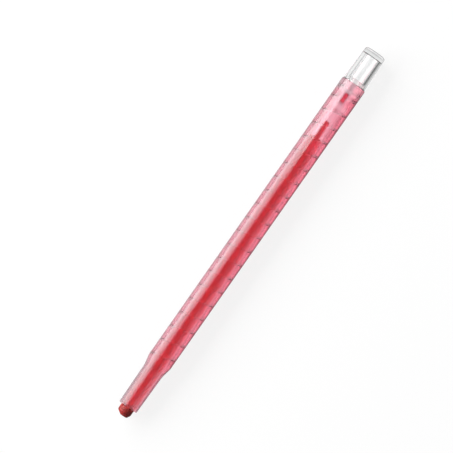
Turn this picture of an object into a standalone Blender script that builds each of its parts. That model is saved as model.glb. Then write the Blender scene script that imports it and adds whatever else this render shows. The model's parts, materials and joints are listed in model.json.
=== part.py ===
# Twist-up wax crayon, lying along X with its tip towards -X and its barrel on z = 0.
# A clear knob turns a slotted drive tube inside a translucent barrel. The tube carries two lugs of
# the wax carrier round with it, and the lugs follow a right-handed helical groove in the barrel
# wall, so that the wax stick is fed out of the nozzle or drawn back in.
#
# Every piece is modelled along its own Z, from the mouth of the nozzle (0) towards the knob, on the
# common axis of the crayon. Local X is the upper side of the lying crayon.

import math

import bmesh
import bpy
from mathutils import Vector

MM = 0.001

# Wax stick: a cast rod with a domed nose
WAX_DIAMETER = 4.9 * MM
WAX_LENGTH = 107.2 * MM
NOSE_LENGTH = 2.35 * MM
NOSE_FULLNESS = 2.2  # 2 is an ellipse, more is blunter

# Barrel, from the nozzle mouth back to the knob
NOZZLE_LENGTH = 14.85 * MM
SHOULDER_LENGTH = 3.6 * MM
BODY_LENGTH = 112.9 * MM
NOZZLE_WALL = 0.41 * MM  # at the mouth
NOZZLE_DRAFT = 0.22 * MM  # radius gained from the mouth to the shoulder
BARREL_WALL = 1.0 * MM  # at the front of the body
BARREL_DRAFT = 0.1 * MM  # radius gained from the shoulder to the rear end
MOUTH_ROUND = 0.25 * MM
SHOULDER_ROUND = 0.8 * MM
REAR_ROUND = 0.2 * MM
REAR_CHAMFER = 0.3 * MM

# Helical guide groove in the barrel's bore
GROOVE_PITCH = 5.5 * MM
GROOVE_WIDTH = 0.9 * MM  # at the bore
GROOVE_ROOT_WIDTH = 0.5 * MM
GROOVE_DEPTH = 0.45 * MM
GROOVE_SETBACK = 0.5 * MM  # from the shoulder to the front end of the groove

# Drive tube: two arms that run through the nozzle, an end wall that turns in the barrel's bore, and
# a hollow peg that enters the knob
TUBE_WALL = 0.36 * MM
TUBE_SETBACK = 0.6 * MM  # front end of the tube inside the nozzle mouth
END_WALL = 1.8 * MM
PEG_DIAMETER = 5.0 * MM
PEG_REACH = 1.5 * MM  # past the rear end of the barrel
PEG_WALL = 0.8 * MM
PEG_RECESS = 4.5 * MM  # depth of the hollow in the peg
SLOT_LAND = 1.2 * MM  # from the rear end of the slots to the end wall

# Twist knob with its snap collar and its spigot
KNOB_LENGTH = 12.6 * MM
KNOB_INSET = 0.32 * MM  # knob base inside the barrel's outer radius
KNOB_TAPER = 0.4 * MM  # radius lost towards the end
KNOB_BASE_ROUND = 0.15 * MM
KNOB_END_ROUND = 0.9 * MM
KNOB_END_WALL = 1.9 * MM
KNOB_BORE_DRAFT = 0.15 * MM  # radius lost towards the end of the bore
KNOB_BORE_ROUND = 0.4 * MM
COLLAR_LENGTH = 3.85 * MM
COUNTERBORE_STEP = 0.07 * MM  # counterbore outside the root of the groove
SNAP_SETBACK = 2.8 * MM  # from the rear end of the barrel to the middle of the bead
SNAP_WIDTH = 1.0 * MM
SNAP_GRIP = 0.1 * MM  # bead outside the counterbore

# Key that locks the knob to the drive tube
KEY_LENGTH = 3.4 * MM
KEY_WIDTH = 1.2 * MM
KEY_SETBACK = 0.25 * MM  # in front of the collar
KEY_RECESS = 0.15 * MM  # ends of the key below the spigot's surface
KEY_LAND = 0.8 * MM  # spigot in front of the key
KEY_EDGE = 0.1 * MM

# Wax carrier: ridged grip inside the wax, hub with two lugs, tail
GRIP_DIAMETER = 1.9 * MM
RIDGE_HEIGHT = 0.4 * MM
RIDGE_PITCH = 2.0 * MM
RIDGE_COUNT = 4
HUB_FRONT_LAND = 1.85 * MM  # from the hub's front face to the front lug
HUB_REAR_LAND = 1.0 * MM  # from the rear lug to the hub's rear face
LUG_WIDTH = 1.5 * MM
TAIL_DIAMETER = 1.8 * MM
TAIL_LENGTH = 6.5 * MM
TAIL_TIP = 0.5 * MM  # bevelled end of the tail
TAIL_ROOM = 4.9 * MM  # from the tail to the end wall, where the wax can still be drawn back

# Clearances
WAX_CLEARANCE = 0.13 * MM  # wax and hub inside the drive tube, radial
RUNNING_CLEARANCE = 0.1 * MM  # turning pieces inside the barrel and knob, radial
BORE_GAP = 0.46 * MM  # between the drive tube and the barrel's bore, crossed by the lugs
GRIP_CLEARANCE = 0.12 * MM  # wax around the ridged grip, radial
LUG_CLEARANCE = 0.12 * MM  # lug inside the groove
SLOT_CLEARANCE = 0.25 * MM  # lug inside the slot, each side
KEY_CLEARANCE = 0.1 * MM  # key inside its slot, each side
SEAT_GAP = 0.2 * MM  # between faces that meet end to end

# Facets
ROUND_SIDES = 24
BORE_SIDES = 24
ARC_STEPS = 4
LUG_STEPS = 2
OVERCUT = 1.0 * MM  # cutters run this far past what they cut

# Radii that follow from the wax outwards
wax_radius = WAX_DIAMETER / 2
tube_bore = wax_radius + WAX_CLEARANCE
tube_radius = tube_bore + TUBE_WALL
nozzle_bore = tube_radius + RUNNING_CLEARANCE
barrel_bore = tube_radius + BORE_GAP
journal_radius = barrel_bore - RUNNING_CLEARANCE
groove_root = barrel_bore + GROOVE_DEPTH
counterbore = groove_root + COUNTERBORE_STEP
mouth_radius = nozzle_bore + NOZZLE_WALL
front_radius = barrel_bore + BARREL_WALL
rear_radius = front_radius + BARREL_DRAFT
collar_radius = counterbore - RUNNING_CLEARANCE
bead_radius = counterbore + SNAP_GRIP
snap_radius = bead_radius + RUNNING_CLEARANCE
knob_base_radius = rear_radius - KNOB_INSET
knob_end_radius = knob_base_radius - KNOB_TAPER
peg_radius = PEG_DIAMETER / 2
knob_bore = peg_radius + RUNNING_CLEARANCE
lug_tip = groove_root - LUG_CLEARANCE
grip_radius = GRIP_DIAMETER / 2
tail_radius = TAIL_DIAMETER / 2

# Stations along the axis, from the mouth of the nozzle back to the end of the knob
mouth = 0.0
shoulder_front = mouth + NOZZLE_LENGTH
shoulder_rear = shoulder_front + SHOULDER_LENGTH
barrel_rear = shoulder_rear + BODY_LENGTH
knob_base = barrel_rear + SEAT_GAP
knob_end = knob_base + KNOB_LENGTH
knob_bore_end = knob_end - KNOB_END_WALL
snap_middle = barrel_rear - SNAP_SETBACK
collar_front = barrel_rear - COLLAR_LENGTH
key_rear = collar_front - KEY_SETBACK
key_front = key_rear - KEY_LENGTH
spigot_front = key_front - KEY_LAND
end_wall_rear = spigot_front - SEAT_GAP
end_wall_front = end_wall_rear - END_WALL
tube_front = mouth + TUBE_SETBACK
peg_rear = barrel_rear + PEG_REACH
groove_front = shoulder_rear + GROOVE_SETBACK

# Stations of the carrier and the wax, from the end wall forwards
tail_rear = end_wall_front - TAIL_ROOM
hub_rear = tail_rear - TAIL_LENGTH
rear_lug = hub_rear - HUB_REAR_LAND
front_lug = rear_lug - GROOVE_PITCH / 2
hub_front = front_lug - HUB_FRONT_LAND
grip_front = hub_front - RIDGE_COUNT * RIDGE_PITCH
wax_rear = hub_front - SEAT_GAP
nose = wax_rear - WAX_LENGTH


def clear_scene():
    for thing in list(bpy.data.objects):
        bpy.data.objects.remove(thing, do_unlink=True)


def new_collection(name):
    collection = bpy.data.collections.new(name)
    bpy.context.scene.collection.children.link(collection)
    return collection


def plastic(name, colour, roughness, transmission=0.0):
    material = bpy.data.materials.new(name)
    material.use_nodes = True
    shader = material.node_tree.nodes["Principled BSDF"]
    shader.inputs["Base Color"].default_value = (*colour, 1.0)
    shader.inputs["Roughness"].default_value = roughness
    shader.inputs["Metallic"].default_value = 0.0
    shader.inputs["Transmission Weight"].default_value = transmission
    return material


def rounded(corners):
    # Profile points (radius, station), with an arc at each corner that has a fillet radius.
    points = []
    for index, (radius, station, fillet) in enumerate(corners):
        corner = Vector((radius, station))
        if not fillet:
            points.append(corner)
            continue
        before = Vector(corners[index - 1][:2]) - corner
        after = Vector(corners[index + 1][:2]) - corner
        half = before.angle(after) / 2
        fillet = min(fillet, min(before.length, after.length) * math.tan(half) / 2)
        bisector = (before.normalized() + after.normalized()).normalized()
        centre = corner + bisector * (fillet / math.sin(half))
        start = corner + before.normalized() * (fillet / math.tan(half)) - centre
        end = corner + after.normalized() * (fillet / math.tan(half)) - centre
        turn = math.atan2(start.x * end.y - start.y * end.x, start.dot(end))
        for step in range(ARC_STEPS + 1):
            angle = math.atan2(start.y, start.x) + turn * step / ARC_STEPS
            points.append(centre + fillet * Vector((math.cos(angle), math.sin(angle))))
    return points


def on_facets(radius, sides):
    # Corner radius of a faceted round whose flats lie on the true radius.
    return radius / math.cos(math.pi / sides)


def turned(name, points, sides, home):
    # A profile of (radius, station) points turned about Z, with a flat facing along X.
    facing = math.pi / sides
    mesh = bpy.data.meshes.new(name)
    corners = [
        (
            on_facets(radius, sides) * math.cos(facing),
            on_facets(radius, sides) * math.sin(facing),
            station,
        )
        for radius, station in points
    ]
    mesh.from_pydata(corners, [(i, i + 1) for i in range(len(corners) - 1)], [])
    piece = bpy.data.objects.new(name, mesh)
    home.objects.link(piece)
    screw = piece.modifiers.new("Turning", "SCREW")
    screw.axis = "Z"
    screw.angle = 2 * math.pi
    screw.steps = sides
    screw.render_steps = sides
    screw.use_merge_vertices = True
    screw.merge_threshold = 1e-6
    screw.use_smooth_shade = True
    return piece


def box(name, size, middle, home, edge=0.0):
    mesh = bpy.data.meshes.new(name)
    shape = bmesh.new()
    bmesh.ops.create_cube(shape, size=1.0)
    bmesh.ops.scale(shape, vec=size, verts=shape.verts)
    bmesh.ops.translate(shape, vec=(0.0, 0.0, middle), verts=shape.verts)
    shape.to_mesh(mesh)
    shape.free()
    piece = bpy.data.objects.new(name, mesh)
    home.objects.link(piece)
    if edge:
        bevel = piece.modifiers.new("Broken edges", "BEVEL")
        bevel.width = edge
        bevel.segments = 1
    return piece


def helical_sweep(shape, outline, angle, station, steps, step_angle):
    # Adds a closed helical bar to a bmesh: an outline of (radius, height) points about the groove's
    # middle line, swept right-handed about Z from the given angle and station.
    section = [
        shape.verts.new((radius * math.cos(angle), radius * math.sin(angle), station + height))
        for radius, height in outline
    ]
    face = shape.faces.new(section)
    bmesh.ops.spin(
        shape,
        geom=[face, *face.edges, *face.verts],
        cent=(0.0, 0.0, 0.0),
        axis=(0.0, 0.0, 1.0),
        dvec=(0.0, 0.0, GROOVE_PITCH * step_angle / (2 * math.pi)),
        angle=steps * step_angle,
        steps=steps,
    )


def swept_object(name, shape, home):
    bmesh.ops.recalc_face_normals(shape, faces=shape.faces)
    mesh = bpy.data.meshes.new(name)
    shape.to_mesh(mesh)
    shape.free()
    piece = bpy.data.objects.new(name, mesh)
    home.objects.link(piece)
    return piece


def combine(piece, operation, tool):
    modifier = piece.modifiers.new(f"{operation.title()} {tool.name}", "BOOLEAN")
    modifier.operation = operation
    modifier.solver = "EXACT"
    modifier.object = tool


def ridged_grip(growth):
    # Ridges of the carrier's grip from the hub forwards, or of the wax around it when grown.
    points = [(grip_radius + growth, hub_front)]
    for ridge in range(RIDGE_COUNT):
        crest = hub_front - (ridge + 0.5) * RIDGE_PITCH
        points.append((grip_radius + RIDGE_HEIGHT + growth, crest))
        points.append((grip_radius + growth, crest - RIDGE_PITCH / 2))
    return points


def nose_dome():
    # Blunt dome of the wax, from the full radius forwards to the axis.
    points = []
    steps = 2 * ARC_STEPS
    for step in range(steps + 1):
        angle = math.pi / 2 * step / steps
        across = math.cos(angle) ** (2 / NOSE_FULLNESS) if step < steps else 0.0
        along = math.sin(angle) ** (2 / NOSE_FULLNESS)
        points.append((wax_radius * across, nose + NOSE_LENGTH * (1.0 - along)))
    return points


def make_barrel(parts, tools):
    outside = [
        (0.0, barrel_rear, 0.0),
        (rear_radius, barrel_rear, REAR_ROUND),
        (front_radius, shoulder_rear, SHOULDER_ROUND),
        (mouth_radius + NOZZLE_DRAFT, shoulder_front, SHOULDER_ROUND),
        (mouth_radius, mouth, MOUTH_ROUND),
        (0.0, mouth, 0.0),
    ]
    barrel = turned("barrel", rounded(outside), ROUND_SIDES, parts)

    bore = [
        (0.0, barrel_rear + OVERCUT),
        (counterbore + REAR_CHAMFER + OVERCUT, barrel_rear + OVERCUT),
        (counterbore, barrel_rear - REAR_CHAMFER),
        (counterbore, snap_middle + SNAP_WIDTH / 2 + RUNNING_CLEARANCE),
        (snap_radius, snap_middle + SNAP_WIDTH / 4 + RUNNING_CLEARANCE),
        (snap_radius, snap_middle - SNAP_WIDTH / 4 - RUNNING_CLEARANCE),
        (counterbore, snap_middle - SNAP_WIDTH / 2 - RUNNING_CLEARANCE),
        (counterbore, collar_front - SEAT_GAP),
        (barrel_bore, collar_front - SEAT_GAP),
        (barrel_bore, shoulder_rear),
        (nozzle_bore, shoulder_front),
        (nozzle_bore, mouth - OVERCUT),
        (0.0, mouth - OVERCUT),
    ]
    combine(barrel, "DIFFERENCE", turned("barrel_bore", bore, BORE_SIDES, tools))

    # The groove passes the rear lug on the upper side, and starts and ends on corners of the bore.
    step_angle = 2 * math.pi / BORE_SIDES
    step_rise = GROOVE_PITCH / BORE_SIDES
    first = math.ceil((groove_front - rear_lug) / step_rise)
    last = math.ceil((collar_front - rear_lug) / step_rise)
    inside = on_facets(barrel_bore - GROOVE_DEPTH, BORE_SIDES)
    outline = [
        (inside, GROOVE_WIDTH / 2),
        (on_facets(barrel_bore, BORE_SIDES), GROOVE_WIDTH / 2),
        (on_facets(groove_root, BORE_SIDES), GROOVE_ROOT_WIDTH / 2),
        (on_facets(groove_root, BORE_SIDES), -GROOVE_ROOT_WIDTH / 2),
        (on_facets(barrel_bore, BORE_SIDES), -GROOVE_WIDTH / 2),
        (inside, -GROOVE_WIDTH / 2),
    ]
    shape = bmesh.new()
    helical_sweep(
        shape,
        outline,
        (first + 0.5) * step_angle,
        rear_lug + (first + 0.5) * step_rise,
        last - first,
        step_angle,
    )
    combine(barrel, "DIFFERENCE", swept_object("guide_groove", shape, tools))
    return barrel


def make_knob(parts, key_slot):
    profile = [
        (0.0, knob_end, 0.0),
        (knob_end_radius, knob_end, KNOB_END_ROUND),
        (knob_base_radius, knob_base, KNOB_BASE_ROUND),
        (collar_radius, knob_base, 0.0),
        (collar_radius, snap_middle + SNAP_WIDTH / 2, 0.0),
        (bead_radius, snap_middle + SNAP_WIDTH / 4, 0.0),
        (bead_radius, snap_middle - SNAP_WIDTH / 4, 0.0),
        (collar_radius, snap_middle - SNAP_WIDTH / 2, 0.0),
        (collar_radius, collar_front, 0.0),
        (journal_radius, collar_front, 0.0),
        (journal_radius, spigot_front, 0.0),
        (knob_bore, spigot_front, 0.0),
        (knob_bore, peg_rear, 0.0),
        (knob_bore - KNOB_BORE_DRAFT, knob_bore_end, KNOB_BORE_ROUND),
        (0.0, knob_bore_end, 0.0),
    ]
    knob = turned("twist_knob", rounded(profile), ROUND_SIDES, parts)
    combine(knob, "DIFFERENCE", key_slot)
    return knob


def make_drive_tube(parts, tools, key_slot):
    profile = [
        (0.0, peg_rear - PEG_RECESS),
        (peg_radius - PEG_WALL, peg_rear - PEG_RECESS),
        (peg_radius - PEG_WALL, peg_rear),
        (peg_radius, peg_rear),
        (peg_radius, end_wall_rear),
        (journal_radius, end_wall_rear),
        (journal_radius, end_wall_front),
        (tube_radius, end_wall_front),
        (tube_radius, tube_front),
        (tube_bore, tube_front),
        (tube_bore, end_wall_front),
        (0.0, end_wall_front),
    ]
    tube = turned("drive_tube", profile, BORE_SIDES, parts)

    # Two slots, open at the front end, so that the carrier slides in between the two arms.
    slot_rear = end_wall_front - SLOT_LAND
    slot_front = tube_front - OVERCUT
    slot_size = (
        2 * (tube_radius + OVERCUT),
        LUG_WIDTH + 2 * SLOT_CLEARANCE,
        slot_rear - slot_front,
    )
    slots = box("lug_slots", slot_size, (slot_front + slot_rear) / 2, tools)
    combine(tube, "DIFFERENCE", slots)
    combine(tube, "DIFFERENCE", key_slot)
    return tube


def make_carrier(parts, tools):
    profile = [
        (0.0, tail_rear),
        (tail_radius - TAIL_TIP, tail_rear),
        (tail_radius, tail_rear - TAIL_TIP),
        (tail_radius, hub_rear),
        (wax_radius, hub_rear),
        (wax_radius, hub_front),
        *ridged_grip(0.0),
        (0.0, grip_front),
    ]
    carrier = turned("wax_carrier", profile, BORE_SIDES, parts)

    # Each lug is a short stretch of the groove's own helix, so it lies true in the groove.
    half_width = GROOVE_WIDTH / 2 - LUG_CLEARANCE
    half_tip = GROOVE_ROOT_WIDTH / 2 - LUG_CLEARANCE
    outline = [
        (wax_radius / 2, half_width),
        (barrel_bore, half_width),
        (lug_tip, half_tip),
        (lug_tip, -half_tip),
        (barrel_bore, -half_width),
        (wax_radius / 2, -half_width),
    ]
    half_span = math.asin(LUG_WIDTH / 2 / lug_tip)
    half_rise = GROOVE_PITCH * half_span / (2 * math.pi)
    shape = bmesh.new()
    for angle, station in ((0.0, rear_lug), (-math.pi, front_lug)):
        helical_sweep(
            shape,
            outline,
            angle - half_span,
            station - half_rise,
            LUG_STEPS,
            2 * half_span / LUG_STEPS,
        )
    combine(carrier, "UNION", swept_object("carrier_lugs", shape, tools))
    return carrier


def make_wax(parts):
    socket = [(radius, station) for radius, station in reversed(ridged_grip(GRIP_CLEARANCE))]
    socket[-1] = (grip_radius + GRIP_CLEARANCE, wax_rear)
    profile = [
        (0.0, grip_front - SEAT_GAP),
        (grip_radius + GRIP_CLEARANCE, grip_front - SEAT_GAP),
        *socket,
        (wax_radius, wax_rear),
        *nose_dome(),
    ]
    return turned("wax_stick", profile, BORE_SIDES, parts)


def make_key(parts, tools):
    middle = (key_front + key_rear) / 2
    size = Vector((2 * (journal_radius - KEY_RECESS), KEY_WIDTH, KEY_LENGTH))
    play = Vector((2 * OVERCUT, 2 * KEY_CLEARANCE, 2 * KEY_CLEARANCE))
    key = box("drive_key", size, middle, parts, KEY_EDGE)
    return key, box("key_slot", size + play, middle, tools)


def main():
    clear_scene()
    parts = new_collection("twist_up_crayon")
    tools = new_collection("cutters")

    axis = bpy.data.objects.new("crayon_axis", None)
    axis.location = (-(nose + knob_end) / 2, 0.0, rear_radius)
    axis.rotation_euler = (math.pi, -math.pi / 2, 0.0)
    parts.objects.link(axis)

    key, key_slot = make_key(parts, tools)
    finishes = {
        make_barrel(parts, tools): plastic("red_tinted_plastic", (0.80, 0.12, 0.19), 0.25, 0.8),
        make_knob(parts, key_slot): plastic("clear_plastic", (0.93, 0.94, 0.95), 0.08, 0.95),
        make_drive_tube(parts, tools, key_slot): plastic("pale_plastic", (0.92, 0.88, 0.89), 0.2, 0.7),
        key: plastic("dark_red_plastic", (0.30, 0.02, 0.03), 0.4),
        make_carrier(parts, tools): plastic("red_plastic", (0.48, 0.03, 0.05), 0.4),
        make_wax(parts): plastic("red_wax", (0.55, 0.05, 0.04), 0.55),
    }
    for piece, finish in finishes.items():
        piece.data.materials.append(finish)
        piece.parent = axis
    for tool in tools.objects:
        tool.parent = axis
        tool.hide_render = True
        tool.display_type = "WIRE"


main()
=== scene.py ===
# Looks of a twist-up wax crayon that lies on a white table, seen from straight above.
import json
import math

import bmesh
import bpy
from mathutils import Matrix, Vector


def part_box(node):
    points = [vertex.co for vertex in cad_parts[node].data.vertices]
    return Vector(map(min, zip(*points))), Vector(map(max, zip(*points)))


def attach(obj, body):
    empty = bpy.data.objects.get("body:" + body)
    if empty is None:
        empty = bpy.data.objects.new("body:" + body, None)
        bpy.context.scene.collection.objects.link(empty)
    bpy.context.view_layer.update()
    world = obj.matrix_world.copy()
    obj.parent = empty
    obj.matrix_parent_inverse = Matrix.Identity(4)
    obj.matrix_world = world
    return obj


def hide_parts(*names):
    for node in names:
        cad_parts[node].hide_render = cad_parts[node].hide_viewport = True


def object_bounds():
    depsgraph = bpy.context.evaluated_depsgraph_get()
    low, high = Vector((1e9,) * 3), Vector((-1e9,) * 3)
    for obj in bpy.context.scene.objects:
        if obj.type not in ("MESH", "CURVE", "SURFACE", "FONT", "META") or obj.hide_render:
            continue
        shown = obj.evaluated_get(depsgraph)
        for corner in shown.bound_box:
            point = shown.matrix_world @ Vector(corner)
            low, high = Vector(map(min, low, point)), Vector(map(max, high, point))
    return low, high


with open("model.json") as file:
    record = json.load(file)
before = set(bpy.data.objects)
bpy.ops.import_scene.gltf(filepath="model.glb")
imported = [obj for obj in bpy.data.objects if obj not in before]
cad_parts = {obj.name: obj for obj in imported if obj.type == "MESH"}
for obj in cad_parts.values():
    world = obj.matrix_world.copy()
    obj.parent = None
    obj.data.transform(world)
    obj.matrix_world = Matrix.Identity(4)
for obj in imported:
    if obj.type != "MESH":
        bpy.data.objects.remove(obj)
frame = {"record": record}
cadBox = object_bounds()
mm = 0.001
weld = 0.0001 * mm  # points closer than this are one
sliver = 0.002 * mm  # what a cut leaves over is thinner than this
ringPlay = 0.001 * mm  # how close an edge lies to the ring that it belongs to
axisHeight = (cadBox[0].z + cadBox[1].z) / 2  # the crayon's axis runs along X at this height
bodyOfNode = {
    node: body
    for body, nodes in frame["record"]["behaviour"]["bodies"].items()
    for node in nodes
}


def inMetres(settings):
    # lengths are written in millimetres
    return {key: value * mm for key, value in settings.items()}


def linearColour(code):
    # sRGB hex to the linear values that shaders take
    channels = [int(code[place:place + 2], 16) / 255 for place in (1, 3, 5)]
    linear = [c / 12.92 if c <= 0.04045 else ((c + 0.055) / 1.055) ** 2.4 for c in channels]
    return (*linear, 1.0)


def addNode(tree, kind, inputs=None, **settings):
    # one node with its settings, and its sockets either linked or given a value
    node = tree.nodes.new(kind)
    for key, value in settings.items():
        setattr(node, key, value)
    for socket, value in (inputs or {}).items():
        if isinstance(value, bpy.types.NodeSocket):
            tree.links.new(value, node.inputs[socket])
        else:
            node.inputs[socket].default_value = value
    return node


def newMaterial(name):
    material = bpy.data.materials.new(name)
    material.use_nodes = True
    return material, material.node_tree, material.node_tree.nodes["Principled BSDF"]


# Modelling by hand, in code

def selectOnly(piece):
    bpy.ops.object.select_all(action="DESELECT")
    piece.select_set(True)
    bpy.context.view_layer.objects.active = piece


def drawLine(name, origin, points):
    # a plane merged to one point, which is then pulled from point to point above the axis
    bpy.ops.object.select_all(action="DESELECT")
    bpy.ops.mesh.primitive_plane_add(size=mm, location=origin)
    piece = bpy.context.object
    piece.name = piece.data.name = name
    bpy.ops.object.mode_set(mode="EDIT")
    bpy.ops.mesh.merge(type="CENTER")
    places = [Vector((station, 0.0, radius)) for station, radius in points]
    bpy.ops.transform.translate(value=places[0])
    for before, after in zip(places, places[1:]):
        bpy.ops.mesh.extrude_verts_indiv()
        bpy.ops.transform.translate(value=after - before)
    bpy.ops.mesh.select_all(action="SELECT")
    bpy.ops.mesh.remove_doubles(threshold=weld)
    return piece


def closeSkin(threshold=weld):
    # joins the doubles and points the faces outwards
    bpy.ops.mesh.select_all(action="SELECT")
    bpy.ops.mesh.remove_doubles(threshold=threshold)
    bpy.ops.mesh.normals_make_consistent(inside=False)


def turnPiece(name, points, sides):
    # spins an outline of (station, radius) round the crayon's axis
    piece = drawLine(name, (0.0, 0.0, axisHeight), points)
    bpy.ops.mesh.spin(
        steps=sides, angle=2 * math.pi, center=(0.0, 0.0, axisHeight), axis=(1.0, 0.0, 0.0)
    )
    closeSkin()
    bpy.ops.object.mode_set(mode="OBJECT")
    bpy.ops.object.transform_apply(location=True, rotation=True, scale=True)
    return piece


def roundRing(piece, station, radius, width, segments):
    # bevels the edges that run round the axis at one station and radius
    selectOnly(piece)
    bpy.ops.object.mode_set(mode="EDIT")
    bpy.ops.mesh.select_mode(type="EDGE")
    bpy.ops.mesh.select_all(action="DESELECT")
    mesh = bmesh.from_edit_mesh(piece.data)
    for edge in mesh.edges:
        ends = [(v.co.x, math.hypot(v.co.y, v.co.z - axisHeight)) for v in edge.verts]
        near = [abs(x - station) < ringPlay and abs(r - radius) < ringPlay for x, r in ends]
        edge.select_set(all(near))
    bmesh.update_edit_mesh(piece.data)
    bpy.ops.mesh.bevel(offset=width, segments=segments, affect="EDGES")
    bpy.ops.mesh.select_mode(type="VERT")
    bpy.ops.object.mode_set(mode="OBJECT")


def sweepHelix(name, section, start, angle, arc, rise, steps, turns=1):
    # sweeps a closed outline of (along the axis, radius) along a right-handed helix
    piece = drawLine(name, (start, 0.0, axisHeight), section + section[:1])
    bpy.ops.object.mode_set(mode="OBJECT")
    sweep = piece.modifiers.new("sweep", "SCREW")
    sweep.axis = "X"
    sweep.angle = arc
    sweep.screw_offset = rise
    sweep.steps = sweep.render_steps = steps
    sweep.iterations = turns
    sweep.use_merge_vertices = False
    bpy.ops.object.modifier_apply(modifier=sweep.name)
    piece.rotation_euler.x = angle
    bpy.ops.object.transform_apply(location=True, rotation=True, scale=True)
    bpy.ops.object.mode_set(mode="EDIT")
    bpy.ops.mesh.select_all(action="SELECT")
    bpy.ops.mesh.remove_doubles(threshold=weld)
    bpy.ops.mesh.fill_holes(sides=len(section))
    closeSkin()
    bpy.ops.object.mode_set(mode="OBJECT")
    return piece


def makeBox(name, low, high, edge=0.0, segments=3):
    # a cube pulled to its corners, with its edges broken
    bpy.ops.object.select_all(action="DESELECT")
    middle = (Vector(low) + Vector(high)) / 2
    bpy.ops.mesh.primitive_cube_add(size=1.0, location=middle, scale=Vector(high) - Vector(low))
    piece = bpy.context.object
    piece.name = piece.data.name = name
    bpy.ops.object.transform_apply(location=True, rotation=True, scale=True)
    if edge:
        bpy.ops.object.mode_set(mode="EDIT")
        bpy.ops.mesh.select_all(action="SELECT")
        bpy.ops.mesh.bevel(offset=edge, segments=segments, affect="EDGES")
        bpy.ops.object.mode_set(mode="OBJECT")
    return piece


def combine(piece, tool, operation):
    # cuts the tool out of the piece, or joins it on
    selectOnly(piece)
    cut = piece.modifiers.new("combine", "BOOLEAN")
    cut.operation = operation
    cut.solver = "EXACT"
    cut.object = tool
    bpy.ops.object.modifier_apply(modifier=cut.name)
    bpy.data.objects.remove(tool, do_unlink=True)

    # the cut leaves slivers where its corners almost meet the piece's own
    bpy.ops.object.mode_set(mode="EDIT")
    closeSkin(sliver)
    bpy.ops.mesh.dissolve_degenerate(threshold=sliver)
    bpy.ops.object.mode_set(mode="OBJECT")


def dressPiece(piece, node, material, sharpAngle=35.0):
    # smooth shading, the finish, and the CAD node that the piece stands for
    selectOnly(piece)
    piece.data.materials.clear()
    piece.data.materials.append(material)
    bpy.ops.object.shade_smooth_by_angle(angle=math.radians(sharpAngle))
    weighted = piece.modifiers.new("weighted", "WEIGHTED_NORMAL")
    weighted.keep_sharp = True
    bpy.ops.object.modifier_apply(modifier=weighted.name)
    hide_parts(node)
    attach(piece, bodyOfNode[node])
    print(f"{piece.name}: {len(piece.data.polygons)} faces")


# Barrel: injection-moulded tube with a helical groove inside, tapered to a nozzle

barrelSettings = {
    "nozzleLength": 14.85,
    "shoulderLength": 3.6,
    "mouthRadius": 3.45,
    "nozzleRearRadius": 3.67,
    "frontRadius": 4.4,
    "nozzleBore": 3.04,
    "bore": 3.4,
    "counterbore": 3.92,
    "counterboreDepth": 4.05,
    "snapRadius": 4.12,
    "snapSetback": 2.8,
    "snapWidth": 1.2,
    "rearChamfer": 0.3,
    "mouthRound": 0.16,
    "shoulderRound": 0.7,
    "rearRound": 0.3,
    "sides": 96,
}

grooveSettings = {
    "pitch": 5.5,
    "width": 1.1,
    "rootWidth": 0.2,
    "depth": 0.5,
    "setback": 0.5,  # front end behind the shoulder
    "lugSetback": 22.7,  # from the barrel's rear end to the upper lug, which lies in the groove
    "overcut": 0.3,
}

barrelFront, barrelRear = (corner.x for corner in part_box("barrel"))
upperLug = barrelRear - grooveSettings["lugSetback"] * mm


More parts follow.
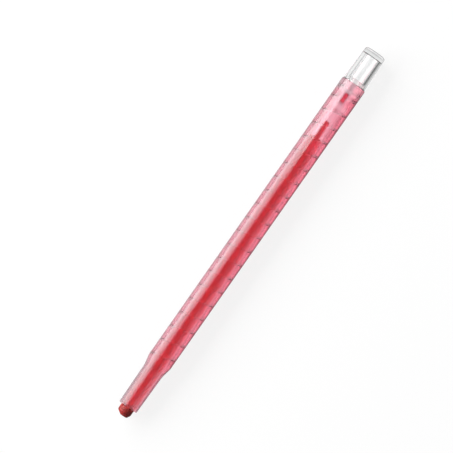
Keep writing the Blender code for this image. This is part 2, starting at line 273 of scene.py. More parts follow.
def makeBarrel():
    size = inMetres(barrelSettings)
    groove = inMetres(grooveSettings)
    sides = barrelSettings["sides"]
    rearRadius = cadBox[1].y
    shoulderFront = barrelFront + size["nozzleLength"]
    shoulderRear = shoulderFront + size["shoulderLength"]
    snap = barrelRear - size["snapSetback"]
    half = size["snapWidth"] / 2
    points = [
        (barrelRear, rearRadius),
        (shoulderRear, size["frontRadius"]),
        (shoulderFront, size["nozzleRearRadius"]),
        (barrelFront, size["mouthRadius"]),
        (barrelFront, size["nozzleBore"]),
        (shoulderFront, size["nozzleBore"]),
        (shoulderRear, size["bore"]),
        (barrelRear - size["counterboreDepth"], size["bore"]),
        (barrelRear - size["counterboreDepth"], size["counterbore"]),
        (snap - half, size["counterbore"]),
        (snap - half / 2, size["snapRadius"]),
        (snap + half / 2, size["snapRadius"]),
        (snap + half, size["counterbore"]),
        (barrelRear - size["rearChamfer"], size["counterbore"]),
        (barrelRear, size["counterbore"] + size["rearChamfer"]),
    ]
    barrel = turnPiece("tintedBarrel", points + points[:1], sides)
    roundRing(barrel, barrelFront, size["mouthRadius"], size["mouthRound"], segments=4)
    roundRing(barrel, barrelFront, size["nozzleBore"], size["mouthRound"] / 2, segments=3)
    roundRing(barrel, shoulderFront, size["nozzleRearRadius"], size["shoulderRound"], segments=5)
    roundRing(barrel, shoulderRear, size["frontRadius"], size["shoulderRound"] / 3, segments=4)
    roundRing(barrel, barrelRear, rearRadius, size["rearRound"], segments=4)

    # the groove starts on a side of the bore, so that its steps fall on the bore's own corners
    step = groove["pitch"] / sides
    first = math.ceil((shoulderRear + groove["setback"] - upperLug) / step)
    start = upperLug + first * step
    turns = math.ceil((barrelRear - size["counterboreDepth"] / 2 - start) / groove["pitch"])
    section = [
        (groove["width"] / 2, size["bore"] - groove["overcut"]),
        (groove["width"] / 2, size["bore"]),
        (groove["rootWidth"] / 2, size["bore"] + groove["depth"]),
        (-groove["rootWidth"] / 2, size["bore"] + groove["depth"]),
        (-groove["width"] / 2, size["bore"]),
        (-groove["width"] / 2, size["bore"] - groove["overcut"]),
    ]
    cutter = sweepHelix(
        "grooveCutter", section, start, angle=first * 2 * math.pi / sides, arc=2 * math.pi,
        rise=groove["pitch"], steps=sides, turns=turns,
    )
    combine(barrel, cutter, "DIFFERENCE")

    # 1 on the matt faces that look towards the axis, 0 on the polished outside
    mattBore = barrel.data.attributes.new("mattBore", "FLOAT", "FACE")
    for face, value in zip(barrel.data.polygons, mattBore.data):
        outward = Vector((0.0, face.center.y, face.center.z - axisHeight))
        value.value = float(face.normal.dot(outward) < 0)
    return barrel


# Key that locks the knob to the drive tube: a bar across both

keySettings = {
    "edge": 0.12,
    "slotPlay": 0.1,
    "segments": 3,
}

keyLow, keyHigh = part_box("drive_key")


def makeKey():
    return makeBox("crossKey", keyLow, keyHigh, keySettings["edge"] * mm, keySettings["segments"])


def keySlot(name):
    # a hole along Z, through what the key crosses
    play = keySettings["slotPlay"] * mm
    low = Vector((keyLow.x - play, keyLow.y - play, cadBox[0].z))
    high = Vector((keyHigh.x + play, keyHigh.y + play, cadBox[1].z))
    return makeBox(name, low, high)


# Twist knob: clear hollow cap with a snap collar and a spigot

knobSettings = {
    "baseGap": 0.2,  # knob behind the barrel's rear end
    "baseRadius": 4.18,
    "endRadius": 3.78,
    "collarRadius": 3.82,
    "collarLength": 3.85,
    "beadRadius": 4.02,
    "beadSetback": 2.8,
    "beadWidth": 1.0,
    "spigotRadius": 3.3,
    "boreRadius": 2.7,
    "boreEndRadius": 2.65,
    "endWall": 1.9,
    "baseRound": 0.15,
    "endRound": 0.8,
    "boreRound": 0.35,
    "sides": 96,
}

knobFront, knobEnd = (corner.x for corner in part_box("twist_knob"))
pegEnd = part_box("drive_tube")[1].x


def makeKnob():
    size = inMetres(knobSettings)
    base = barrelRear + size["baseGap"]
    bead = barrelRear - size["beadSetback"]
    half = size["beadWidth"] / 2
    collarFront = barrelRear - size["collarLength"]
    boreEnd = knobEnd - size["endWall"]
    points = [
        (knobEnd, 0.0),
        (knobEnd, size["endRadius"]),
        (base, size["baseRadius"]),
        (base, size["collarRadius"]),
        (bead + half, size["collarRadius"]),
        (bead + half / 2, size["beadRadius"]),
        (bead - half / 2, size["beadRadius"]),
        (bead - half, size["collarRadius"]),
        (collarFront, size["collarRadius"]),
        (collarFront, size["spigotRadius"]),
        (knobFront, size["spigotRadius"]),
        (knobFront, size["boreRadius"]),
        (pegEnd, size["boreRadius"]),
        (boreEnd, size["boreEndRadius"]),
        (boreEnd, 0.0),
    ]
    knob = turnPiece("clearKnob", points, knobSettings["sides"])
    roundRing(knob, knobEnd, size["endRadius"], size["endRound"], segments=7)
    roundRing(knob, base, size["baseRadius"], size["baseRound"], segments=3)
    roundRing(knob, boreEnd, size["boreEndRadius"], size["boreRound"], segments=4)
    combine(knob, keySlot("knobKeySlot"), "DIFFERENCE")
    return knob


# Drive tube: two long arms with slots between them, an end wall and a hollow peg

tubeSettings = {
    "radius": 2.94,
    "bore": 2.58,
    "endWallFront": 10.3,  # in front of the barrel's rear end
    "endWall": 1.8,
    "endWallRadius": 3.3,
    "pegRadius": 2.5,
    "pegWall": 0.8,
    "pegRecess": 4.5,
    "slotWidth": 2.0,
    "slotLand": 1.2,
    "slotOvercut": 1.0,
    "pegRound": 0.2,
    "wallRound": 0.1,
    "sides": 72,
}

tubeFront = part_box("drive_tube")[0].x


def makeTube():
    size = inMetres(tubeSettings)
    wallFront = barrelRear - size["endWallFront"]
    wallRear = wallFront + size["endWall"]
    recess = pegEnd - size["pegRecess"]
    pegBore = size["pegRadius"] - size["pegWall"]
    points = [
        (recess, 0.0),
        (recess, pegBore),
        (pegEnd, pegBore),
        (pegEnd, size["pegRadius"]),
        (wallRear, size["pegRadius"]),
        (wallRear, size["endWallRadius"]),
        (wallFront, size["endWallRadius"]),
        (wallFront, size["radius"]),
        (tubeFront, size["radius"]),
        (tubeFront, size["bore"]),
        (wallFront, size["bore"]),
        (wallFront, 0.0),
    ]
    tube = turnPiece("slottedTube", points, tubeSettings["sides"])
    roundRing(tube, pegEnd, size["pegRadius"], size["pegRound"], segments=3)
    for station in (wallFront, wallRear):
        roundRing(tube, station, size["endWallRadius"], size["wallRound"], segments=2)
    halfSlot = size["slotWidth"] / 2
    low = Vector((tubeFront - size["slotOvercut"], -halfSlot, cadBox[0].z))
    high = Vector((wallFront - size["slotLand"], halfSlot, cadBox[1].z))
    combine(tube, makeBox("lugSlots", low, high), "DIFFERENCE")
    combine(tube, keySlot("tubeKeySlot"), "DIFFERENCE")
    return tube


# Carrier: ridged grip inside the wax, hub with two lugs, tail

carrierSettings = {
    "gripRadius": 0.95,
    "ridgeHeight": 0.4,
    "ridgePitch": 2.0,
    "hubRadius": 2.45,
    "hubFrontLand": 1.85,
    "hubRearLand": 1.0,
    "tailRadius": 0.9,
    "tailTip": 0.45,
    "hubRound": 0.15,
    "lugTip": 3.7,
    "lugWidth": 1.5,
    "lugRootWidth": 0.5,
    "lugTipWidth": 0.2,
    "ridgeCount": 4,
    "lugSteps": 6,
    "sides": 72,
}

gripFront, tailEnd = (corner.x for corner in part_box("wax_carrier"))


def ridges(hubFront, growth):
    # outline of the grip from the hub forwards, or of the wax round it when grown
    size = inMetres(carrierSettings)
    root = size["gripRadius"] + growth
    points = [(hubFront, root)]
    for ridge in range(carrierSettings["ridgeCount"]):
        crest = hubFront - (ridge + 0.5) * size["ridgePitch"]
        points.append((crest, root + size["ridgeHeight"]))
        points.append((crest - size["ridgePitch"] / 2, root))
    return points


def makeCarrier():
    size = inMetres(carrierSettings)
    pitch = grooveSettings["pitch"] * mm
    lowerLug = upperLug - pitch / 2
    hubFront = lowerLug - size["hubFrontLand"]
    hubRear = upperLug + size["hubRearLand"]
    points = [
        (tailEnd, 0.0),
        (tailEnd, size["tailRadius"]),
        (hubRear, size["tailRadius"]),
        (hubRear, size["hubRadius"]),
        (hubFront, size["hubRadius"]),
        *ridges(hubFront, 0.0),
        (gripFront, 0.0),
    ]
    carrier = turnPiece("ridgedCarrier", points, carrierSettings["sides"])
    roundRing(carrier, tailEnd, size["tailRadius"], size["tailTip"], segments=5)
    roundRing(carrier, hubRear, size["hubRadius"], size["hubRound"], segments=3)
    roundRing(carrier, hubFront, size["hubRadius"], size["hubRound"], segments=3)

    # each lug is a short stretch of the groove's own helix
    halfRoot = size["lugRootWidth"] / 2
    halfTip = size["lugTipWidth"] / 2
    bore = barrelSettings["bore"] * mm
    section = [
        (halfRoot, size["hubRadius"] / 2),
        (halfRoot, bore),
        (halfTip, size["lugTip"]),
        (-halfTip, size["lugTip"]),
        (-halfRoot, bore),
        (-halfRoot, size["hubRadius"] / 2),
    ]
    arc = 2 * math.asin(size["lugWidth"] / 2 / size["lugTip"])
    rise = pitch * arc / (2 * math.pi)
    steps = carrierSettings["lugSteps"]
    for name, station, angle in (("upperLug", upperLug, 0.0), ("lowerLug", lowerLug, -math.pi)):
        lug = sweepHelix(name, section, station - rise / 2, angle - arc / 2, arc, rise, steps)
        combine(carrier, lug, "UNION")
    return carrier


# Wax stick: cast rod, its nose worn to a blunt cone with a flat on one side

waxSettings = {
    "radius": 2.45,
    "noseRadius": 1.7,
    "noseLength": 1.3,
    "shoulderRound": 0.25,
    "noseRound": 0.3,
    "flatStart": 0.35,  # the worn flat leaves the blunt end this far from the axis
    "flatSlope": 27.0,  # degrees back from the blunt end
    "gripPlay": 0.12,
    "seat": 0.2,
    "hubGap": 0.04,
    "sides": 96,
}

waxNose, waxRear = (corner.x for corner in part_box("wax_stick"))


def makeWax():
    size = inMetres(waxSettings)
    hubFront = waxRear + size["seat"]
    socket = ridges(hubFront, size["gripPlay"])
    rear = hubFront - size["hubGap"]
    socket[0] = (rear, socket[0][1])
    socketEnd = (gripFront - size["seat"], socket[-1][1])
    points = [
        (waxNose, 0.0),
        (waxNose, size["noseRadius"]),
        (waxNose + size["noseLength"], size["radius"]),
        (rear, size["radius"]),
        *socket,
        socketEnd,
        (socketEnd[0], 0.0),
    ]
    wax = turnPiece("waxRod", points, waxSettings["sides"])
    roundRing(wax, waxNose, size["noseRadius"], size["noseRound"], segments=5)
    roundRing(wax, waxNose + size["noseLength"], size["radius"], size["shoulderRound"], segments=5)

    # worn flat on the left of the nose
    slope = math.radians(waxSettings["flatSlope"])
    bpy.ops.object.mode_set(mode="EDIT")
    bpy.ops.mesh.select_all(action="SELECT")
    bpy.ops.mesh.bisect(
        plane_co=(waxNose, size["flatStart"], axisHeight),
        plane_no=(-math.cos(slope), math.sin(slope), 0.0),
        clear_outer=True,
    )
    bpy.ops.mesh.select_all(action="SELECT")
    bpy.ops.mesh.fill_holes(sides=0)
    closeSkin()
    bpy.ops.object.mode_set(mode="OBJECT")
    return wax


# Finishes

barrelFinish = {
    "colours": ("#FBF0F3", "#FFFAFB"),
    "mistSize": 2.5,
    "mistStretch": 0.15,  # the mist is drawn out along the barrel
    "polish": (0.06, 0.16),
    "boreRoughness": 0.34,
    "dye": "#F73F90",
    "dyeDensity": 370.0,
}


def tintedPolypropylene():
    # Polypropylene with a little red dye, moulded against polished steel: almost clear face on,
    # so the wax shows through, and deep pink where the wall is seen edge on. Its bore is matt,
    # which softens the groove.
    finish = barrelFinish
    misty, clear = (linearColour(code) for code in finish["colours"])
    material, tree, shader = newMaterial("tintedPolypropylene")
    place = addNode(tree, "ShaderNodeTexCoord").outputs["Object"]
    flow = addNode(
        tree, "ShaderNodeMapping", {"Vector": place, "Scale": (finish["mistStretch"], 1.0, 1.0)}
    )
    mist = addNode(
        tree, "ShaderNodeTexNoise",
        {"Vector": flow.outputs[0], "Scale": 1 / (finish["mistSize"] * mm), "Detail": 3.0},
    )
    colour = addNode(
        tree, "ShaderNodeMix", {0: mist.outputs["Fac"], 6: misty, 7: clear}, data_type="RGBA"
    )
    polished = addNode(
        tree, "ShaderNodeMapRange",
        {"Value": mist.outputs["Fac"], "To Min": finish["polish"][0], "To Max": finish["polish"][1]},
    )
    inside = addNode(tree, "ShaderNodeAttribute", attribute_name="mattBore")
    rough = addNode(
        tree, "ShaderNodeMix",
        {0: inside.outputs["Fac"], 2: polished.outputs[0], 3: finish["boreRoughness"]},
    )
    tree.links.new(colour.outputs[2], shader.inputs["Base Color"])
    tree.links.new(rough.outputs[0], shader.inputs["Roughness"])
    shader.inputs["IOR"].default_value = 1.49
    shader.inputs["Transmission Weight"].default_value = 1.0
    dye = addNode(
        tree, "ShaderNodeVolumeAbsorption",
        {"Color": linearColour(finish["dye"]), "Density": finish["dyeDensity"]},
    )
    tree.links.new(dye.outputs[0], tree.nodes["Material Output"].inputs["Volume"])
    return material


knobFinish = {
    "colours": ("#F4F6F6", "#FFFFFF"),
    "hazeSize": 3.0,
    "hazeRoughness": 0.02,
    "smoke": "#8A8A8A",
    "smokeDensity": 50.0,
}


def clearPolystyrene():
    # Crystal polystyrene from a polished mould: bright edges, hardly any tint, faint handling haze.
    finish = knobFinish
    hazy, clear = (linearColour(code) for code in finish["colours"])
    material, tree, shader = newMaterial("clearPolystyrene")
    place = addNode(tree, "ShaderNodeTexCoord").outputs["Object"]
    haze = addNode(
        tree, "ShaderNodeTexNoise",
        {"Vector": place, "Scale": 1 / (finish["hazeSize"] * mm), "Detail": 4.0},
    )
    colour = addNode(
        tree, "ShaderNodeMix", {0: haze.outputs["Fac"], 6: hazy, 7: clear}, data_type="RGBA"
    )
    rough = addNode(
        tree, "ShaderNodeMapRange",
        {"Value": haze.outputs["Fac"], "To Min": 0.0, "To Max": finish["hazeRoughness"]},
    )
    tree.links.new(colour.outputs[2], shader.inputs["Base Color"])
    tree.links.new(rough.outputs[0], shader.inputs["Roughness"])
    shader.inputs["IOR"].default_value = 1.59
    shader.inputs["Transmission Weight"].default_value = 1.0
    smoke = addNode(
        tree, "ShaderNodeVolumeAbsorption",
        {"Color": linearColour(finish["smoke"]), "Density": finish["smokeDensity"]},
    )
    tree.links.new(smoke.outputs[0], tree.nodes["Material Output"].inputs["Volume"])
    return material


tubeFinish = {
    "colours": ("#F8F5F5", "#FFFEFE"),
    "cloudSize": 2.0,
    "gloss": "#959595",
}


def naturalPolypropylene():
    # Thin undyed polypropylene, moulded smooth: almost clear, with a faint cloud in it and little
    # gloss of its own inside the barrel.
    finish = tubeFinish
    cloudy, clear = (linearColour(code) for code in finish["colours"])
    material, tree, shader = newMaterial("naturalPolypropylene")
    place = addNode(tree, "ShaderNodeTexCoord").outputs["Object"]
    cloud = addNode(
        tree, "ShaderNodeTexNoise",
        {"Vector": place, "Scale": 1 / (finish["cloudSize"] * mm), "Detail": 2.0},
    )
    colour = addNode(
        tree, "ShaderNodeMix", {0: cloud.outputs["Fac"], 6: cloudy, 7: clear}, data_type="RGBA"
    )
    tree.links.new(colour.outputs[2], shader.inputs["Base Color"])
    shader.inputs["Roughness"].default_value = 0.1
    shader.inputs["IOR"].default_value = 1.49
    shader.inputs["Specular Tint"].default_value = linearColour(finish["gloss"])
    shader.inputs["Transmission Weight"].default_value = 1.0
    return material


mouldedFinish = {
    "keyColours": ("#D85068", "#E86078"),
    "carrierColours": ("#D03848", "#E44C5A"),
    "grainSize": 0.25,
    "grainDepth": 0.02,
}


def mouldedRed(name, colours):
    # Red polypropylene, coloured all through, from a spark-eroded mould: dull, with a fine grain.
    finish = mouldedFinish
    dark, light = (linearColour(code) for code in colours)
    material, tree, shader = newMaterial(name)
    place = addNode(tree, "ShaderNodeTexCoord").outputs["Object"]
    grain = addNode(
        tree, "ShaderNodeTexNoise",
        {"Vector": place, "Scale": 1 / (finish["grainSize"] * mm), "Detail": 2.0},
    )
    colour = addNode(
        tree, "ShaderNodeMix", {0: grain.outputs["Fac"], 6: dark, 7: light}, data_type="RGBA"
    )
    bump = addNode(
        tree, "ShaderNodeBump",
        {"Height": grain.outputs["Fac"], "Strength": 0.2, "Distance": finish["grainDepth"] * mm},
    )
    tree.links.new(colour.outputs[2], shader.inputs["Base Color"])
    tree.links.new(bump.outputs[0], shader.inputs["Normal"])
    shader.inputs["Roughness"].default_value = 0.4
    return material


waxFinish = {
    "castColours": ("#C41A28", "#D82A38"),
    "shadedNoseColours": ("#6E1A17", "#B03A36"),
    "shadedNoseEnd": 2.0,  # the painted shade of the nose runs out this far inside the barrel
    "mottleSize": 0.9,
    "mottleDepth": 0.1,
    "mottleEdges": (0.35, 0.65),
    "dullness": (0.4, 0.65),
    "glowDepth": 1.2,
}


def pigmentedWax():
    # Cast paraffin wax full of red pigment: dull, slightly greasy and mottled, with painted shade
    # that makes it darker and browner at the nose, where it stands out of the barrel.
    finish = waxFinish
    material, tree, shader = newMaterial("pigmentedWax")
    place = addNode(tree, "ShaderNodeTexCoord").outputs["Object"]
    mottle = addNode(
        tree, "ShaderNodeTexNoise",
        {"Vector": place, "Scale": 1 / (finish["mottleSize"] * mm), "Detail": 5.0, "Roughness": 0.65},
    )
    low, high = finish["mottleEdges"]
    patch = addNode(
        tree, "ShaderNodeMapRange",
        {"Value": mottle.outputs["Fac"], "From Min": low, "From Max": high},
    )
    mottled = []
    for colours in (finish["castColours"], finish["shadedNoseColours"]):
        dark, light = (linearColour(code) for code in colours)
        mixed = addNode(
            tree, "ShaderNodeMix", {0: patch.outputs[0], 6: dark, 7: light}, data_type="RGBA"
        )
        mottled.append(mixed.outputs[2])
    along = addNode(tree, "ShaderNodeSeparateXYZ", {0: place})
    covered = addNode(
        tree, "ShaderNodeMapRange",
        {"Value": along.outputs["X"], "From Min": barrelFront,
         "From Max": barrelFront + finish["shadedNoseEnd"] * mm},
    )
    # painted shade: the nose, out of the barrel, takes the darker colours
    colour = addNode(
        tree, "ShaderNodeMix",
        {0: covered.outputs[0], 6: mottled[1], 7: mottled[0]},
        data_type="RGBA",
    )
    low, high = finish["dullness"]
    rough = addNode(
        tree, "ShaderNodeMapRange", {"Value": mottle.outputs["Fac"], "To Min": low, "To Max": high}
    )
    bump = addNode(
        tree, "ShaderNodeBump",
        {"Height": mottle.outputs["Fac"], "Strength": 0.6, "Distance": finish["mottleDepth"] * mm},
    )
    tree.links.new(colour.outputs[2], shader.inputs["Base Color"])
    tree.links.new(rough.outputs[0], shader.inputs["Roughness"])
    tree.links.new(bump.outputs[0], shader.inputs["Normal"])
    shader.inputs["Subsurface Weight"].default_value = 0.6
    shader.inputs["Subsurface Radius"].default_value = (1.0, 0.2, 0.1)
    shader.inputs["Subsurface Scale"].default_value = finish["glowDepth"] * mm
    shader.inputs["Specular IOR Level"].default_value = 0.3
    return material


keyRed = mouldedRed("mouldedKeyRed", mouldedFinish["keyColours"])
carrierRed = mouldedRed("mouldedCarrierRed", mouldedFinish["carrierColours"])
dressPiece(makeBarrel(), "barrel", tintedPolypropylene(), sharpAngle=60.0)
dressPiece(makeKnob(), "twist_knob", clearPolystyrene())
dressPiece(makeTube(), "drive_tube", naturalPolypropylene())
dressPiece(makeKey(), "drive_key", keyRed)
dressPiece(makeCarrier(), "wax_carrier", carrierRed)
dressPiece(makeWax(), "wax_stick", pigmentedWax(), sharpAngle=20.0)


# White table: plain white to the camera, with painted glow, painted shade, painted pink light and a
# painted reflection for light that has come through the plastic or off the gloss

farLight = "#FFCDD4"  # pink light, seen through the plastic on the far side from the window; on the table it is painted light


def pinkThrough(tree, share):
    # white light, pink by a share where it is seen through the plastic
    path = addNode(tree, "ShaderNodeLightPath")
    tinge = addNode(
        tree, "ShaderNodeMath", {0: share, 1: path.outputs["Is Transmission Ray"]}, operation="MULTIPLY"
    )
    light = addNode(
        tree, "ShaderNodeMix",
        {0: tinge.outputs[0], 6: linearColour("#FFFFFF"), 7: linearColour(farLight)},
        data_type="RGBA",
    )
    return light.outputs[2]


tableSettings = {
    "size": 4000.0,
    "colours": ("#FAFAFA", "#FDFDFD"),
    "fibreSize": 1.5,
    "glowShare": 0.85,  # the rest is lit by the lamp, and keeps the crayon's shadow
    "shadeReach": 20.0,  # the shades end this far to either side of the axis
    "nozzleShade": [  # places across the table, from right to left, and the painted shade there
        (-20, 1.0), (-8.5, 1.0), (-6.8, 0.3), (-5, 0.2), (-4, 0.6), (-3, 1.0),
        (3, 0.8), (4, 0.15), (6.8, 0.3), (8.5, 0.7), (20, 0.7),
    ],
    "barrelShade": [
        (-20, 1.1), (-9, 1.2), (-6.8, 0.9), (-4.7, 0.15), (-3, 0.8),
        (3, 0.85), (4.7, 0.1), (6, 0.4), (8, 0.75), (10, 0.75), (20, 0.7),
    ],
    "knobShade": [
        (-20, 0.06), (-13, 0.06), (-9, 0.22), (-6, 0.38), (-4.8, 0.48), (-3.4, 0.66), (-2.6, 0.82),
        (-2, 0.9), (2, 0.9), (3.2, 0.6), (6, 0.8), (8.5, 0.75), (10.5, 0.75), (14, 0.5), (20, 0.05),
    ],
    "pastNozzle": (15.0, 18.0),  # behind the barrel's front end
    "besideKnob": (0.0, 2.0),  # behind the barrel's rear end
    "pastWax": (4.0, 7.0),  # behind the wax
    "underEnd": (-3.0, -1.0),  # before the knob's end
    "underRim": (-1.0, -0.2),
    # painted light from the table under each stretch; rimGlow is a painted shadow under the knob's end
    # rim
    "barrelGlow": 1.55,
    "knobGlow": 1.42,
    "endGlow": 1.36,
    "rimGlow": 0.05,
    "mirrorReach": (-4.0, 20.0),  # what the gloss shows of the table, from right to left
    "mirrorGlow": (0.15, 2.4),
    "knobMirrorGlow": 0.4,
    "farSide": (-3.0, -5.0),
    "farShift": 2.5,  # the far side starts further out behind the wax
}


def tableZones(tree, along):
    # each rises from 0 to 1 where a stretch of the crayon begins
    starts = {
        "pastNozzle": barrelFront,
        "besideKnob": barrelRear,
        "pastWax": waxRear,
        "underEnd": knobEnd,
        "underRim": knobEnd,
    }
    zones = {}
    for name, start in starts.items():
        first, last = (start + place * mm for place in tableSettings[name])
        ramp = addNode(
            tree, "ShaderNodeMapRange", {"Value": along, "From Min": first, "From Max": last}
        )
        zones[name] = ramp.outputs[0]
    return zones


def tableShade(tree, across, zones):
    # painted shade on the table, seen only through the plastic: bright under the crayon and dark under
    # its edges, which draws their outlines through the plastic
    reach = tableSettings["shadeReach"] * mm
    strip = addNode(
        tree, "ShaderNodeMapRange", {"Value": across, "From Min": -reach, "From Max": reach}
    )
    shades = []
    for name in ("nozzleShade", "barrelShade", "knobShade"):
        levels = tableSettings[name]
        shade = addNode(tree, "ShaderNodeFloatCurve", {"Value": strip.outputs[0]})
        curve = shade.mapping.curves[0]
        curve.points[0].location.y = levels[0][1]
        curve.points[1].location.y = levels[-1][1]
        for y, level in levels[1:-1]:
            curve.points.new(y * mm / reach / 2 + 0.5, level)
        shade.mapping.update()
        shades.append(shade.outputs[0])
    front = addNode(tree, "ShaderNodeMix", {0: zones["pastNozzle"], 2: shades[0], 3: shades[1]})
    whole = addNode(tree, "ShaderNodeMix", {0: zones["besideKnob"], 2: front.outputs[0], 3: shades[2]})
    return whole.outputs[0]


def tableGlow(tree, zones):
    # strength of the painted light from below, seen only through the plastic, along the crayon, with a
    # painted shadow under the knob's end rim
    table = tableSettings
    underEnd = addNode(
        tree, "ShaderNodeMix", {0: zones["underEnd"], 2: table["knobGlow"], 3: table["endGlow"]}
    )
    underRim = addNode(tree, "ShaderNodeMix", {0: zones["underRim"], 2: 1.0, 3: table["rimGlow"]})
    underKnob = addNode(
        tree, "ShaderNodeMath", {0: underEnd.outputs[0], 1: underRim.outputs[0]}, operation="MULTIPLY"
    )
    whole = addNode(
        tree, "ShaderNodeMix",
        {0: zones["pastWax"], 2: table["barrelGlow"], 3: underKnob.outputs[0]},
    )
    return whole.outputs[0]


def tableMirrored(tree, across, zones):
    # painted reflection, what the gloss shows of the table: bright on the left, dim on the right and
    # beside the knob
    right, left = (place * mm for place in tableSettings["mirrorReach"])
    low, high = tableSettings["mirrorGlow"]
    besideBarrel = addNode(
        tree, "ShaderNodeMapRange",
        {"Value": across, "From Min": right, "From Max": left, "To Min": low, "To Max": high},
    )
    whole = addNode(
        tree, "ShaderNodeMix",
        {0: zones["besideKnob"], 2: besideBarrel.outputs[0], 3: tableSettings["knobMirrorGlow"]},
    )
    return whole.outputs[0]


def tableFarSide(tree, across, zones):
    # share of painted pink light on the far side, beside the barrel only
    shifted = addNode(
        tree, "ShaderNodeMath", {0: zones["pastWax"], 1: tableSettings["farShift"] * mm, 2: across},
        operation="MULTIPLY_ADD",
    )
    near, far = (place * mm for place in tableSettings["farSide"])
    farSide = addNode(
        tree, "ShaderNodeMapRange", {"Value": shifted.outputs[0], "From Min": near, "From Max": far}
    )
    besideBarrel = addNode(
        tree, "ShaderNodeMath", {0: farSide.outputs[0], 1: zones["besideKnob"]},
        operation="SUBTRACT", use_clamp=True,
    )
    return besideBarrel.outputs[0]


def paperWhite():
    # Matt white board: the camera sees it as white, with the crayon's own soft shadow. Through the
    # plastic it shows a painted glow with painted shade and painted pink light, and in the gloss a
    # painted reflection.
    light, lighter = (linearColour(code) for code in tableSettings["colours"])
    material, tree, shader = newMaterial("paperWhite")
    tree.nodes.remove(shader)
    place = addNode(tree, "ShaderNodeTexCoord").outputs["Object"]
    fibre = addNode(
        tree, "ShaderNodeTexNoise",
        {"Vector": place, "Scale": 1 / (tableSettings["fibreSize"] * mm)},
    )
    colour = addNode(
        tree, "ShaderNodeMix", {0: fibre.outputs["Fac"], 6: light, 7: lighter}, data_type="RGBA"
    )
    axes = addNode(tree, "ShaderNodeSeparateXYZ", {0: place})
    across = axes.outputs["Y"]
    zones = tableZones(tree, axes.outputs["X"])
    # painted glow and painted shade, which only light through the plastic sees
    seenThrough = addNode(
        tree, "ShaderNodeMath", {0: tableShade(tree, across, zones), 1: tableGlow(tree, zones)},
        operation="MULTIPLY",
    )
    path = addNode(tree, "ShaderNodeLightPath")
    # painted reflection for the gloss, plain white for the camera
    reflected = addNode(
        tree, "ShaderNodeMix",
        {0: path.outputs["Is Glossy Ray"], 2: path.outputs["Is Camera Ray"],
         3: tableMirrored(tree, across, zones)},
    )
    seen = addNode(
        tree, "ShaderNodeMix",
        {0: path.outputs["Is Transmission Ray"], 2: reflected.outputs[0], 3: seenThrough.outputs[0]},
    )
    glow = addNode(
        tree, "ShaderNodeEmission",
        {"Color": pinkThrough(tree, tableFarSide(tree, across, zones)), "Strength": seen.outputs[0]},
    )
    board = addNode(tree, "ShaderNodeBsdfDiffuse", {"Color": colour.outputs[2]})
    white = addNode(
        tree, "ShaderNodeMixShader",
        {0: tableSettings["glowShare"], 1: board.outputs[0], 2: glow.outputs[0]},
    )
    tree.links.new(white.outputs[0], tree.nodes["Material Output"].inputs["Surface"])
    return material


def makeTable():
    bpy.ops.object.select_all(action="DESELECT")
    bpy.ops.mesh.primitive_plane_add(size=tableSettings["size"] * mm, location=(0.0, 0.0, 0.0))
    floor = bpy.context.object
    floor.name = "tableTop"
    floor.data.materials.append(paperWhite())


# Sky: weak and white, but bright at both sides for light that has come through the plastic

skySettings = {
    "plain": 0.3,
    "sides": (5.2, 3.0),  # to the right and to the left
    "fade": (0.6, 0.95),  # share of a heading that points up or endways
    "overhead": 0.05,
    "ends": 0.1,
    "farSide": (0.0, -0.7),
}


def makeSky():
    sky = skySettings
    world = bpy.data.worlds.new("softStudio")
    world.use_nodes = True
    bpy.context.scene.world = world
    tree = world.node_tree
    background = tree.nodes["Background"]
    heading = addNode(tree, "ShaderNodeTexCoord").outputs["Generated"]
    axes = addNode(tree, "ShaderNodeSeparateXYZ", {0: heading})
    right, left = sky["sides"]
    side = addNode(
        tree, "ShaderNodeMapRange",
        {"Value": axes.outputs["Y"], "From Min": -1.0, "From Max": 1.0, "To Min": right, "To Max": left},
    )
    endways = addNode(tree, "ShaderNodeMath", {0: axes.outputs["X"]}, operation="ABSOLUTE")
    seenThrough = side.outputs[0]
    low, high = sky["fade"]
    for part, level in ((axes.outputs["Z"], sky["overhead"]), (endways.outputs[0], sky["ends"])):
        fade = addNode(
            tree, "ShaderNodeMapRange",
            {"Value": part, "From Min": low, "From Max": high, "To Min": 1.0, "To Max": level},
        )
        dimmed = addNode(
            tree, "ShaderNodeMath", {0: seenThrough, 1: fade.outputs[0]}, operation="MULTIPLY"
        )
        seenThrough = dimmed.outputs[0]
    path = addNode(tree, "ShaderNodeLightPath")
    strength = addNode(
        tree, "ShaderNodeMix", {0: path.outputs["Is Transmission Ray"], 2: sky["plain"], 3: seenThrough}
    )
    near, far = sky["farSide"]
    farSide = addNode(
        tree, "ShaderNodeMapRange", {"Value": axes.outputs["Y"], "From Min": near, "From Max": far}
    )
    tree.links.new(strength.outputs[0], background.inputs["Strength"])
    tree.links.new(pinkThrough(tree, farSide.outputs[0]), background.inputs["Color"])


# Window: one large lamp at the left, which draws the crayon's shadow

windowSettings = {
    "place": (0.0, 950.0, 600.0),
    "size": (1800.0, 700.0),
    "power": 26.0,
}


def makeWindow():
    bpy.ops.object.light_add(type="AREA", location=Vector(windowSettings["place"]) * mm)
    window = bpy.context.object
    window.name = "windowLight"
    window.data.shape = "RECTANGLE"
    window.data.size, window.data.size_y = (side * mm for side in windowSettings["size"])
    window.data.energy = windowSettings["power"]
    window.rotation_euler = (-window.location).to_track_quat("-Z", "Y").to_euler()
    window.visible_camera = window.visible_transmission = window.visible_glossy = False


# Bright card along the left side, which only the gloss shows

cardSettings = {
    "place": (-69.0, 210.0, 255.0),
    "size": (302.0, 530.0),
    "lean": 110.0,  # degrees from flat
    "strength": 8.0,
    "fade": (0.76, 1.03),  # shares of the card's height
    "pinkRise": (0.3, 0.8),
    "pinkEnd": (0.83, 0.87),  # shares of its length, behind the wax
    "pink": "#FF90A2",
}


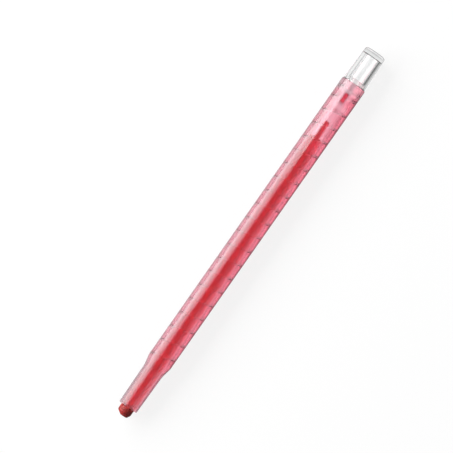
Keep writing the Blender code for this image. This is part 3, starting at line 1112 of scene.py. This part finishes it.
def brightCard():
    # Lit board that fades out at its top, and is pink there beside the wax: a soft band on the barrel.
    card = cardSettings
    material, tree, shader = newMaterial("brightCard")
    tree.nodes.remove(shader)
    place = addNode(tree, "ShaderNodeTexCoord").outputs["UV"]
    axes = addNode(tree, "ShaderNodeSeparateXYZ", {0: place})
    low, high = card["fade"]
    fade = addNode(
        tree, "ShaderNodeMapRange",
        {"Value": axes.outputs["Y"], "From Min": low, "From Max": high,
         "To Min": card["strength"], "To Max": 0.0},
    )
    low, high = card["pinkRise"]
    height = addNode(
        tree, "ShaderNodeMapRange", {"Value": axes.outputs["Y"], "From Min": low, "From Max": high}
    )
    first, last = card["pinkEnd"]
    besideWax = addNode(
        tree, "ShaderNodeMapRange",
        {"Value": axes.outputs["X"], "From Min": first, "From Max": last, "To Min": 1.0, "To Max": 0.0},
    )
    tinge = addNode(
        tree, "ShaderNodeMath", {0: height.outputs[0], 1: besideWax.outputs[0]}, operation="MULTIPLY"
    )
    light = addNode(
        tree, "ShaderNodeMix",
        {0: tinge.outputs[0], 6: linearColour("#FFFFFF"), 7: linearColour(card["pink"])},
        data_type="RGBA",
    )
    glow = addNode(tree, "ShaderNodeEmission", {"Color": light.outputs[2], "Strength": fade.outputs[0]})
    tree.links.new(glow.outputs[0], tree.nodes["Material Output"].inputs["Surface"])
    material.cycles.emission_sampling = "NONE"
    return material


def makeCard():
    bpy.ops.object.select_all(action="DESELECT")
    bpy.ops.mesh.primitive_plane_add(
        size=1.0,
        location=Vector(cardSettings["place"]) * mm,
        rotation=(math.radians(cardSettings["lean"]), 0.0, 0.0),
    )
    card = bpy.context.object
    card.name = "sideCard"
    card.scale = (*(side * mm for side in cardSettings["size"]), 1.0)
    card.data.materials.append(brightCard())
    card.visible_camera = card.visible_diffuse = card.visible_transmission = card.visible_shadow = False


# Camera, straight above

cameraSettings = {
    "height": 1150.0,  # above the crayon's axis
    "frameWidth": 151.0,  # across the picture, at the crayon's axis
    "tilt": 55.0,  # degrees from the picture's horizontal to the crayon
    "centreRight": -7.51,  # from the crayon's middle to the picture's centre
    "centreUp": 2.48,
    "sensor": 36.0,
    "clipStart": 10.0,
    "bounces": 32,  # enough for light to get out of the plastic again
}


def makeCamera():
    size = inMetres(cameraSettings)
    turn = math.radians(cameraSettings["tilt"])
    right = Vector((math.cos(turn), -math.sin(turn), 0.0))
    up = Vector((math.sin(turn), math.cos(turn), 0.0))
    aim = right * size["centreRight"] + up * size["centreUp"]
    bpy.ops.object.camera_add(location=aim + Vector((0.0, 0.0, axisHeight + size["height"])))
    camera = bpy.context.object
    camera.rotation_euler = (0.0, 0.0, -turn)
    camera.data.sensor_width = cameraSettings["sensor"]
    camera.data.lens = cameraSettings["sensor"] * cameraSettings["height"] / cameraSettings["frameWidth"]
    camera.data.clip_start = size["clipStart"]
    scene = bpy.context.scene
    scene.camera = camera
    scene.view_settings.view_transform = "Standard"
    scene.cycles.max_bounces = cameraSettings["bounces"]
    scene.cycles.transmission_bounces = cameraSettings["bounces"]


makeTable()
makeSky()
makeWindow()
makeCard()
makeCamera()
print("stage: table, light and camera")
